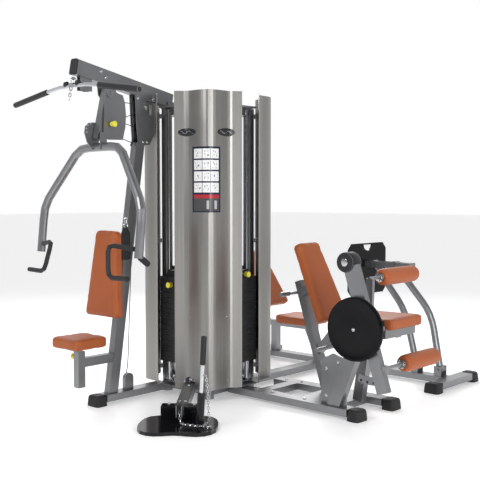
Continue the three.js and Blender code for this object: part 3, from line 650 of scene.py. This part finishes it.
def makePlacard():
    columns, rows = 33, 3
    s, z = np.meshgrid(placard["middle"] + placard["wide"] * np.linspace(-0.5, 0.5, columns),
                       np.linspace(placard["low"], placard["high"], rows))
    sheets = [onShroud(s, z, np.full(s.shape, lift)) for lift in (placard["lift"], placard["back"])]
    thing = pieceFrom("exercisePlacard", [slab(*sheets)], finish("placardFace", placardFace), "machine",
                      smooth=False)
    u, w = np.meshgrid(np.linspace(0, 1, columns), np.linspace(0, 1, rows))
    both = np.tile(np.stack([u.ravel(), w.ravel()], 1), (2, 1))
    corners = np.empty(len(thing.data.loops), np.int32)
    thing.data.loops.foreach_get("vertex_index", corners)
    layer = thing.data.uv_layers.new(name="sheet")
    layer.data.foreach_set("uv", both[corners].astype(np.float32).ravel())


def makeBadge(name, middle):
    # an oval plate: rings of points from the centre out, the edge rolled down to the steel, with a raised wave
    rings, sides = 9, 40
    reach, turn = np.meshgrid(np.linspace(0.02, 1, rings), np.arange(sides) * 2 * np.pi / sides, indexing="ij")
    s = middle + badge["wide"] / 2 * reach * np.cos(turn)
    z = badge["height"] + badge["tall"] / 2 * reach * np.sin(turn)
    lift = badge["lift"] * np.sqrt(1 - 0.9 * reach ** 4)
    face = onShroud(s, z, lift).reshape(-1, 3)
    back = onShroud(s, z, np.full(s.shape, badge["back"])).reshape(-1, 3)
    grid = gridFaces(rings, sides, wrapColumns=True)
    count = rings * sides
    edge = (rings - 1) * sides + np.arange(sides)
    after = (rings - 1) * sides + (np.arange(sides) + 1) % sides
    wall = np.stack([edge, edge + count, after + count, after], 1)
    hub = [tuple(range(sides)), tuple(range(count + sides - 1, count - 1, -1))]
    faces = [*grid[:, ::-1], *(grid + count), *wall, *hub]
    pieceFrom(name, [(np.vstack([face, back]), faces)], finish(name + "Face", badgeFace), "machine")
    along = np.linspace(-0.36, 0.36, 30)
    wave = onShroud(middle + badge["wide"] * along, badge["height"] + badge["tall"] * 0.16 * np.sin(along * 14),
                    np.full(30, 3.2))
    pieceFrom(name + "Wave", [tube(wave, 0.0016, 8)], slotFinish["chrome"], "machine")


makePlacard()
makeBadge("badgeLeft", badge["middles"][0])
makeBadge("badgeRight", badge["middles"][1])
print("stage: placard and badges made")


# ---- bolts: a domed head on a washer ----
def bolt(spot, way, radius=9):
    r = radius / 1000
    profile = [(0, r * 1.45), (0.0014, r * 1.45), (0.0018, r * 1.0), (0.0045, r * 0.97), (0.0068, r * 0.75),
               (0.0078, r * 0.4)]
    return turned(place(*spot), way, profile, 16)


boltSpots = [
    ("towerBolts", "machine", [((x, y, 70.2), (0, 0, 1)) for x, y in ((330, -20), (330, 20), (480, 0), (620, 0),
                                                                     (420, 400), (560, 400), (900, 0), (1110, 400))]),
    ("gussetBolts", "machine", [((x, -5.2, z), (0, -1, 0)) for x, z in ((1085, 300), (1085, 130), (1180, 350))]),
    ("pressFrameBolts", "machine", [((-165.8, y, z), (1, 0, 0)) for y, z in
                                    ((-478, 1800), (-440, 1800), (-520, 2100), (-382, 2100))]),
    ("rowBolts", "machine", [(rowSpot(along, across, high), (0, 0, 1)) for along, across, high in (
        (430, 18, 105), (430, -18, 105), (490, 80, 102), (490, -80, 102), (60, 0, 124))]),
    ("shroudScrews", "machine", [((x, -y, z), (1, -1, 0)) for x, y, z in ((349, 174, 590), (349, 174, 150),
                                                                         (174, 349, 590), (174, 349, 150))]),
    ("boomBolts", "machine", [((-169.8, -840, 2250), (1, 0, 0)), ((-169.8, -800, 2215), (1, 0, 0))]),
]
for name, body, heads in boltSpots:
    pieceFrom(name, [bolt(spot, way) for spot, way in heads], slotFinish["chrome"], body)


# ---- lat bar grips and counterweight ----
latShape = {"bend": 150, "tip": 660, "bendHigh": 2138, "tipHigh": 2060, "y": -1052, "gripLong": 385, "grip": 19.2}


def latGrip(side):
    bend = place(-200 + side * latShape["bend"], latShape["y"], latShape["bendHigh"])
    tip = place(-200 + side * latShape["tip"], latShape["y"], latShape["tipHigh"])
    way = unit(tip - bend)
    r = latShape["grip"] / 1000
    start = tip - way * (latShape["gripLong"] + 2) / 1000
    long = (latShape["gripLong"] + 10) / 1000
    profile = [(0, r * 0.8), (0.002, r), (long - 0.008, r), (long - 0.002, r * 0.9), (long, r * 0.6)]
    return turned(start, way, profile, 24)


pieceFrom("latBarGrips", [latGrip(-1), latGrip(1)], slotFinish["black_grip"], "lat_bar")
pieceFrom("counterweightDrum", [turned(place(1290, -99.5, 1008), (0, 1, 0), [
    (0, 0.05), (0.001, 0.06), (0.006, 0.0638), (0.086, 0.0638), (0.091, 0.06), (0.0925, 0.05)], 40)],
    slotFinish["black_grip"], "leg_lever")
pieceFrom("counterweightBoss", [turned(place(1290, -99.5, 1008), (0, -1, 0), [
    (0, 0.024), (0.004, 0.024), (0.005, 0.021), (0.006, 0.012)], 28)], slotFinish["chrome"], "leg_lever")
print("stage: bolts, grips and drum made")

# ---- chains: flat-sided links along a path, every other one turned a quarter ----
def chain(path, pitch=0.017, wide=0.0065, wire=0.0023):
    step = np.linalg.norm(np.diff(path, axis=0), axis=1)
    travelled = np.concatenate([[0], np.cumsum(step)])
    count = int(travelled[-1] / pitch)
    where = (np.arange(count) + 0.5) * travelled[-1] / count
    centres = np.stack([np.interp(where, travelled, path[:, k]) for k in range(3)], 1)
    ahead, side, lift = frames(centres)
    turn = np.arange(14) * 2 * np.pi / 14
    parts = []
    for k in range(count):
        across = side[k] if k % 2 else lift[k]
        rim = centres[k] + (np.cos(turn)[:, None] * ahead[k] * pitch * 0.74 + np.sin(turn)[:, None] * across * wide)
        out = unit(rim - centres[k])
        up = np.cross(ahead[k], across)
        small = np.arange(6) * 2 * np.pi / 6
        ring = rim[:, None] + wire * (np.cos(small)[None, :, None] * out[:, None] + np.sin(small)[None, :, None] * up)
        parts.append((ring.reshape(-1, 3), gridFaces(14, 6, wrapRows=True, wrapColumns=True)))
    return parts


chainWay = smoothPath(spots(
    rowSpot(648, 4, 92), rowSpot(664, 8, 62), rowSpot(686, 20, 33), rowSpot(712, 52, 29), rowSpot(728, 92, 29),
    rowSpot(742, 132, 29), rowSpot(734, 178, 29), rowSpot(756, 206, 31), rowSpot(782, 190, 34),
    rowSpot(770, 162, 40), rowSpot(742, 176, 46), rowSpot(724, 192, 60), rowSpot(716, 190, 130),
    rowSpot(712, 184, 230), rowSpot(706, 176, 330)), 160)
pieceFrom("rowChain", chain(chainWay), slotFinish["chrome"], "machine")

rowLow = np.array(rowSpot(690, 135, 34))  # foot and head of the straight bar
rowHigh = np.array(rowSpot(684, 161, 580))
rowWay = unit(rowHigh - rowLow)


def rowGrip(start, long, radius=17.6):
    r = radius / 1000
    end = long / 1000
    profile = [(0, r * 0.7), (0.003, r), (end - 0.01, r), (end - 0.003, r * 0.92), (end, r * 0.6)]
    return turned(place(*(rowLow + rowWay * start)), rowWay, profile, 24)


pieceFrom("rowBarGrip", [rowGrip(358, 178)], slotFinish["black_grip"], "row_bar")
clipWay = spots(rowSpot(694, 150, 322), rowSpot(700, 165, 334), rowSpot(706, 176, 326))
pieceFrom("rowClip", [tube(smoothPath(clipWay, 12), 0.004, 8)], slotFinish["chrome"], "machine")

latChain = smoothPath(spots((-200, -1062, 2128), (-202, -1066, 2096), (-208, -1068, 2066), (-212, -1067, 2046)), 20)
pieceFrom("latChain", chain(latChain, 0.02, 0.0085, 0.003), slotFinish["chrome"], "lat_bar")
pieceFrom("latKnobs", [turned(place(-200 + side * 62, -1052, 2150), (side, 0, 0), [
    (-0.012, 0.012), (-0.009, 0.02), (0.009, 0.02), (0.012, 0.012)], 20) for side in (-1, 1)],
    slotFinish["black_grip"], "lat_bar")
pieceFrom("latHook", [tube(smoothPath(spots(
    (-200, -1046, 2160), (-200, -1060, 2176), (-200, -1046, 2192), (-200, -1026, 2186), (-200, -1020, 2170)), 24),
    0.005, 10)], slotFinish["chrome"], "lat_bar")
print("stage: chains and clips made")


# ---- steel cables in their black sleeves ----
cable = {"thin": 0.0028, "thick": 0.0075}


def cableFinish(wire):
    lay = wire.node("ShaderNodeTexWave", {"bands_direction": "DIAGONAL"},
                    {"Vector": wire.node("ShaderNodeTexCoord", out="Object"), "Scale": 90.0})
    return {"Base Color": blendTint(lay, (0.01, 0.01, 0.011), (0.05, 0.05, 0.052)),
            "Roughness": 0.4 + lay * 0.15}


cableBlack = finish("cableBlack", cableFinish)
armCables = [((-162, -640, 2060), (-196, -552, 2062)), ((-162, -634, 1962), (-196, -545, 1990)),
             ((-162, -640, 1916), (-196, -541, 1906)), ((-162, -664, 1812), (-196, -548, 1790))]
for number, ends in enumerate(armCables):
    line = pieceFrom(f"armCable{number + 1}", [tube(smoothPath(spots(*ends), 8), cable["thin"], 8)],
                     cableBlack, None)
    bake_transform(line)
columnWay = smoothPath(spots((-200, -548, 2112), (-200, -552, 2080), (-200, -545, 2010), (-200, -539, 1930),
                             (-200, -540, 1850), (-200, -548, 1796), (-200, -560, 1772)), 40)
pieceFrom("pulleyCable", [tube(columnWay, cable["thick"], 10)], cableBlack, "machine")
mastWay = smoothPath(spots((-150, -546, 1500), (-150, -592, 1180), (-150, -620, 700), (-166, -626, 300),
                           (-178, -632, 190)), 40)
pieceFrom("mastCable", [tube(mastWay, cable["thin"], 8)], cableBlack, "machine")
print("stage: cables made")


# ---- the webbing strap that hangs by the back pad, with its ring and snap hook ----
strap = {"x": -149, "middle": -653, "low": 985, "high": 1215, "wide": 76, "thick": 5}


def makeStrap():
    # a band: width and place are functions of the way up it, narrowing to the ring at its top, with a slow curl
    up = np.linspace(0, 1, 41)
    z = strap["low"] + (strap["high"] - strap["low"]) * up
    half = strap["wide"] / 2 * np.clip(1.05 - np.clip(up - 0.78, 0, 1) * 3.4, 0.3, 1)
    across = np.linspace(-1, 1, 13)
    y = strap["middle"] + half[:, None] * across
    x = strap["x"] + 3 * np.sin(up * 5)[:, None] + 4 * (1 - across ** 2)[None, :]
    z = np.broadcast_to(z[:, None], y.shape)
    shell = np.stack([np.broadcast_to(x, y.shape), y, z], -1)
    near, far = shell.copy(), shell.copy()
    near[..., 0] += strap["thick"] / 2
    far[..., 0] -= strap["thick"] / 2
    band = pieceFrom("strapWebbing", [slab(near / 1000 + towerAxis, far / 1000 + towerAxis)],
                     slotFinish["strap_webbing"], "machine")
    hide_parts("ab_strap")


makeStrap()
ring = np.arange(25) * 2 * np.pi / 24
ringWay = place(strap["x"], strap["middle"], 1222) + 0.016 * np.stack(
    [np.zeros(25), np.cos(ring), np.sin(ring)], 1)
snapWay = smoothPath(spots((-149, -653, 1234), (-149, -662, 1248), (-149, -660, 1268), (-149, -650, 1280),
                           (-149, -642, 1268), (-149, -644, 1248), (-149, -650, 1238)), 30)
pieceFrom("strapRing", [tube(ringWay, 0.0035, 8), tube(snapWay, 0.0042, 8)], slotFinish["chrome"], "machine")
print("stage: strap made")


# ---- black end cap of the boom, rubber stop under the right arm, dress of the round cover ----
def roundedBox(middle, half, turn=0.0, power=5.0, rows=15, columns=24):
    # a superquadric: a sphere's points pushed out towards a box by a power, then stretched
    up = np.linspace(-np.pi / 2, np.pi / 2, rows)[:, None]
    swing = np.arange(columns)[None, :] * 2 * np.pi / columns
    x = square(np.cos(up), power) * square(np.cos(swing), power) * half[0]
    y = square(np.cos(up), power) * square(np.sin(swing), power) * half[1]
    z = square(np.sin(up), power) * half[2] * np.ones_like(swing)
    points = np.stack([x, y, z], -1)[1:-1].reshape(-1, 3) / 1000
    ends = np.array([[0, 0, -half[2]], [0, 0, half[2]]]) / 1000
    points, faces = closeEnds(points, gridFaces(rows - 2, columns, wrapColumns=True), ends, columns, rows - 2)
    c, s = math.cos(turn), math.sin(turn)
    return points @ np.array([[1, 0, 0], [0, c, s], [0, -s, c]]) + place(*middle), faces


boomTilt = -math.atan(0.183)
pieceFrom("boomCap", [roundedBox((-200, -1038, 2263), (33, 10, 53), boomTilt, 8)], slotFinish["black_grip"],
          "machine")
pieceFrom("armStop", [turned(place(325, -938, 1040), (0.1, 0.75, -0.6), [
    (0, 0.012), (0.004, 0.02), (0.075, 0.02), (0.085, 0.016), (0.088, 0.008)], 20)], slotFinish["foot_rubber"],
    "press_yoke")
cover = {"x": 1384, "y": -130.3, "z": 602, "radius": 198}
coverParts = [turned(place(cover["x"], cover["y"], cover["z"]), (0, -1, 0), [
    (0, 0.186), (0.002, 0.196), (0.005, 0.197), (0.007, 0.191), (0.005, 0.184), (0.0035, 0.12), (0.006, 0.04),
    (0.0065, 0.012)], 64)]
pieceFrom("coverFace", coverParts, slotFinish["black_steel"], "machine")
pieceFrom("coverBolt", [bolt((cover["x"], -136.5, cover["z"]), (0, -1, 0), 8)], slotFinish["chrome"], "machine")
print("stage: caps and cover made")


# ---- the two leg rollers: foam in a sewn cover ----
rollerShape = {
    "radius": 54.5, "square": 9.0, "pucker": 0.8, "puckers": 26, "puckerIn": 26, "puckerWide": 14, "dip": 0.9,
    "dipWide": 2.2, "seam": 15, "seamWide": 22,
}
rollers = [
    {"name": "shinRollerCover", "node": "leg_shin_roller", "body": "shin_roller", "at": (1560, 372),
     "ends": (150.3, 550)},
    {"name": "thighRollerCover", "node": "thigh_roller", "body": "thigh_roller", "at": (1392, 905),
     "ends": (150.3, 552)},
]


def makeRoller(roller):
    # way along and radius are a rounded cylinder (sine and cosine of one angle to a small power); near the ends
    # the radius also falls and rises a little round the turn, as the cover puckers at its seam
    rows, sides = 97, 96
    angle = np.linspace(-0.5, 0.5, rows)[:, None] * np.pi
    turn = np.arange(sides)[None, :] * 2 * np.pi / sides
    low, high = roller["ends"]
    along = (low + high) / 2 + (high - low) / 2 * square(np.sin(angle), rollerShape["square"])
    radius = rollerShape["radius"] * square(np.cos(angle), rollerShape["square"])
    inward = np.minimum(along - low, high - along)
    near = np.exp(-((inward - rollerShape["puckerIn"]) / rollerShape["puckerWide"]) ** 2)
    radius = radius - rollerShape["dip"] * np.exp(-((inward - rollerShape["seam"]) / rollerShape["dipWide"]) ** 2)
    radius = np.maximum(radius + near * rollerShape["pucker"] * np.sin(turn * rollerShape["puckers"]), 0)
    x = roller["at"][0] + radius * np.cos(turn)
    z = roller["at"][1] + radius * np.sin(turn)
    y = np.broadcast_to(along, x.shape)
    points = np.stack([x, y, z], -1)[1:-1].reshape(-1, 3) / 1000 + towerAxis
    ends = np.array([place(roller["at"][0], end, roller["at"][1]) for end in (low, high)])
    shell = closeEnds(points, gridFaces(rows - 2, sides, wrapColumns=True), ends, sides, rows - 2)
    thing = pieceFrom(roller["name"], [shell], slotFinish["orange_cover"], roller["body"])
    where = readPoints(thing.data)[:, 1] * 1000 - towerAxis[1] * 1000
    inward = np.minimum(where - low, high - where)
    value = np.clip(0.5 + (inward - rollerShape["seam"]) / rollerShape["seamWide"], 0, 1)
    mark = thing.data.attributes.new("edgeWay", "FLOAT", "POINT")
    mark.data.foreach_set("value", value.astype(np.float32))
    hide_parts(roller["node"])


for roller in rollers:
    makeRoller(roller)


# ---- rubber feet: domed caps over the rail ends ----
footShape = {"square": 5.5, "taper": 0.14, "rows": 25, "columns": 48, "waist": 0.42}


def makeFoot(name):
    # a superquadric set into the floor: points below the floor are lifted to it, and the sides draw in with height
    low, high = (np.array(corner) * 1000 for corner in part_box(name))
    middle, half, tall = (low + high) / 2, (high - low) / 2, high[2] - low[2]
    sink = tall * footShape["waist"]
    up = np.linspace(-np.pi / 2, np.pi / 2, footShape["rows"])[:, None]
    turn = np.arange(footShape["columns"])[None, :] * 2 * np.pi / footShape["columns"]
    power = footShape["square"]
    z = np.maximum(sink + square(np.sin(up), power) * (tall - sink), 0) * np.ones_like(turn)
    draw = (1 - footShape["taper"] * z / tall) * square(np.cos(up), power)
    x = middle[0] + square(np.cos(turn), power) * half[0] * draw
    y = middle[1] + square(np.sin(turn), power) * half[1] * draw
    points = np.stack([x, y, z], -1)[1:-1].reshape(-1, 3) / 1000
    ends = np.array([[middle[0], middle[1], 0], [middle[0], middle[1], tall]]) / 1000
    shell = closeEnds(points, gridFaces(footShape["rows"] - 2, footShape["columns"], wrapColumns=True), ends,
                      footShape["columns"], footShape["rows"] - 2)
    thing = pieceFrom(name + "_cap", [shell], slotFinish["foot_rubber"], "machine")
    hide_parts(name)


for name in ("press_foot", "leg_foot_near", "leg_foot_far", "leg_press_foot_near", "leg_press_foot_far"):
    makeFoot(name)

# ---- collars at the rollers' near ends ----
collar = [(0, 0.018), (0.001, 0.022), (0.006, 0.022), (0.008, 0.018), (0.02, 0.018), (0.022, 0.03), (0.03, 0.03),
          (0.031, 0.026)]
pieceFrom("thighCollar", [turned(place(1392, 118, 905), (0, 1, 0), collar, 32)], slotFinish["chrome"], "thigh_holder")
pieceFrom("shinCollar", [turned(place(1560, 118, 372), (0, 1, 0), collar, 32)], slotFinish["chrome"], "leg_lever")


# ---- index plate of the leg lever ----
def ringPlate(middle, inner, outer, first, last, thick, sides=20):
    # a flat sector between two radii: its outline there and back, then a wall of its thickness
    turn = np.radians(np.linspace(first, last, sides))
    rim = np.concatenate([np.stack([outer * np.cos(turn), outer * np.sin(turn)], 1),
                          np.stack([inner * np.cos(turn[::-1]), inner * np.sin(turn[::-1])], 1)])
    flat = np.stack([rim[:, 0], np.zeros(len(rim)), rim[:, 1]], 1)
    points = np.vstack([flat - [0, thick / 2, 0], flat + [0, thick / 2, 0]]) + np.array(middle)
    count = len(rim)
    i = np.arange(count)
    wall = [(int(a), int((a + 1) % count), int((a + 1) % count + count), int(a + count)) for a in i]
    quads = [(k, k + 1, count - 2 - k, count - 1 - k) for k in range(sides - 1)]
    back = [tuple(c + count for c in quad[::-1]) for quad in quads]
    return points / 1000 + towerAxis, [quad[::-1] for quad in wall] + quads + back


indexPlate = {"middle": (1446, -34, 602), "inner": 300, "outer": 352, "first": -106, "last": -74, "thick": 6,
              "holeReach": 336, "holeFace": -37.4, "holeAngles": (-102, -94, -86, -78)}


def indexHole(angle):
    x = indexPlate["middle"][0] + indexPlate["holeReach"] * math.cos(math.radians(angle))
    z = indexPlate["middle"][2] + indexPlate["holeReach"] * math.sin(math.radians(angle))
    rim = [(0, 0.0085), (0.0006, 0.0085), (0.0008, 0.006)]
    return turned(place(x, indexPlate["holeFace"], z), (0, -1, 0), rim, 20)


pieceFrom("indexPlate", [ringPlate(*[indexPlate[key] for key in ("middle", "inner", "outer", "first", "last",
                                                                 "thick")])],
          slotFinish["silver_paint"], "leg_lever", smooth=False)
pieceFrom("indexHoles", [indexHole(angle) for angle in indexPlate["holeAngles"]], slotFinish["black_grip"],
          "leg_lever")
print("stage: rollers, feet and collars made")
